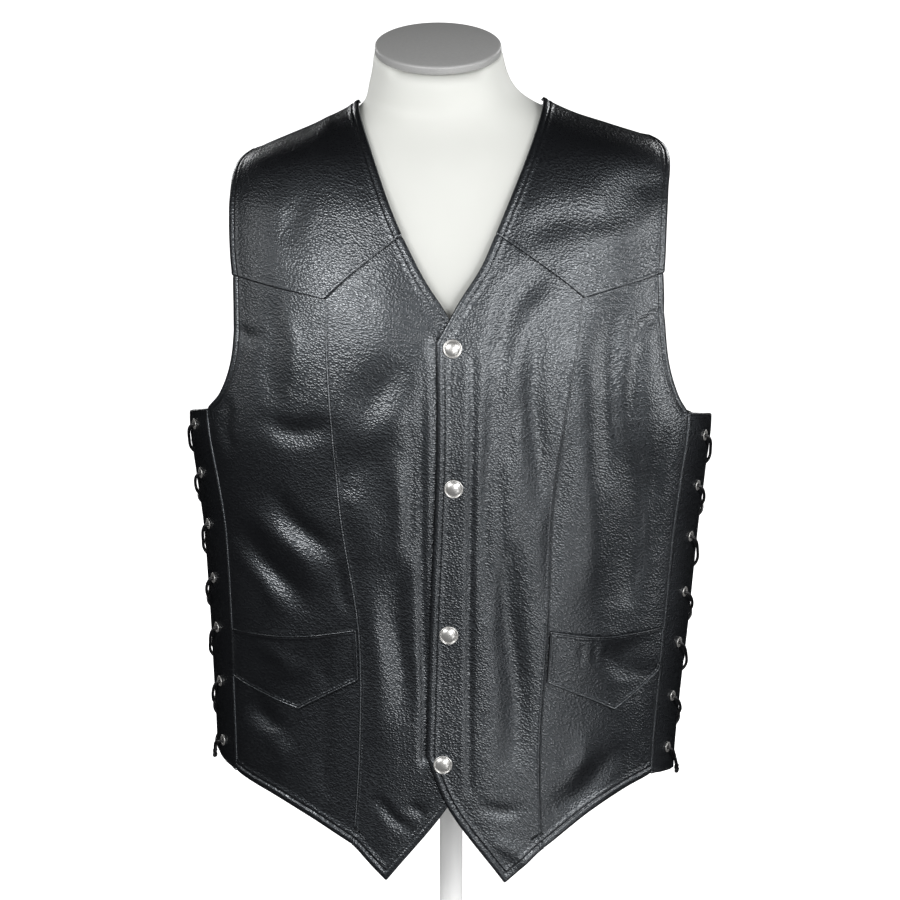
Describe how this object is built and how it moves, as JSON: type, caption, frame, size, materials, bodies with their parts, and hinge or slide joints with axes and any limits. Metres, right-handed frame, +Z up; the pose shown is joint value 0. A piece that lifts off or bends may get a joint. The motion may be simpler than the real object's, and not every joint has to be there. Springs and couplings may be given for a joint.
{
  "type": "leather vest on a dress form",
  "caption": "Western leather vest with snap front, pointed hem, lower pockets and laced sides, worn by a limbless dress form on a round foot.",
  "frame": {"origin": "centre of the foot's underside, which rests on the floor", "axes": "+Z up, the vest's front faces -Y, +X is the wearer's left"},
  "size_m": [0.4461, 0.27, 0.8272],
  "materials": {
    "leather": "black pebble-grained cowhide, semi-gloss",
    "lace": "round black leather cord",
    "nickel": "nickel-plated, satin",
    "cover": "smooth cream-white cover",
    "steel": "brushed grey metal",
    "stand": "white powder coat"
  },
  "bodies": {
    "root": {"left_yoke": "leather", "left_centre_front": "leather", "left_side_front": "leather", "left_pocket": "leather", "left_front_strip": "leather", "left_back_strip": "leather", "left_front_eyelet_1": "nickel", "left_front_eyelet_2": "nickel", "left_front_eyelet_3": "nickel", "left_front_eyelet_4": "nickel", "left_front_eyelet_5": "nickel", "left_front_eyelet_6": "nickel", "left_front_eyelet_7": "nickel", "left_back_eyelet_1": "nickel", "left_back_eyelet_2": "nickel", "left_back_eyelet_3": "nickel", "left_back_eyelet_4": "nickel", "left_back_eyelet_5": "nickel", "left_back_eyelet_6": "nickel", "left_back_eyelet_7": "nickel", "left_lace": "lace", "left_lace_knot": "lace", "right_yoke": "leather", "right_centre_front": "leather", "right_side_front": "leather", "right_pocket": "leather", "right_front_strip": "leather", "right_back_strip": "leather", "right_front_eyelet_1": "nickel", "right_front_eyelet_2": "nickel", "right_front_eyelet_3": "nickel", "right_front_eyelet_4": "nickel", "right_front_eyelet_5": "nickel", "right_front_eyelet_6": "nickel", "right_front_eyelet_7": "nickel", "right_back_eyelet_1": "nickel", "right_back_eyelet_2": "nickel", "right_back_eyelet_3": "nickel", "right_back_eyelet_4": "nickel", "right_back_eyelet_5": "nickel", "right_back_eyelet_6": "nickel", "right_back_eyelet_7": "nickel", "right_lace": "lace", "right_lace_knot": "lace", "back": "leather", "snap_1": "nickel", "snap_2": "nickel", "snap_3": "nickel", "snap_4": "nickel", "torso": "cover", "neck_cap": "steel", "pole": "stand", "collar": "stand", "foot": "stand"}
  },
  "joints": []
}
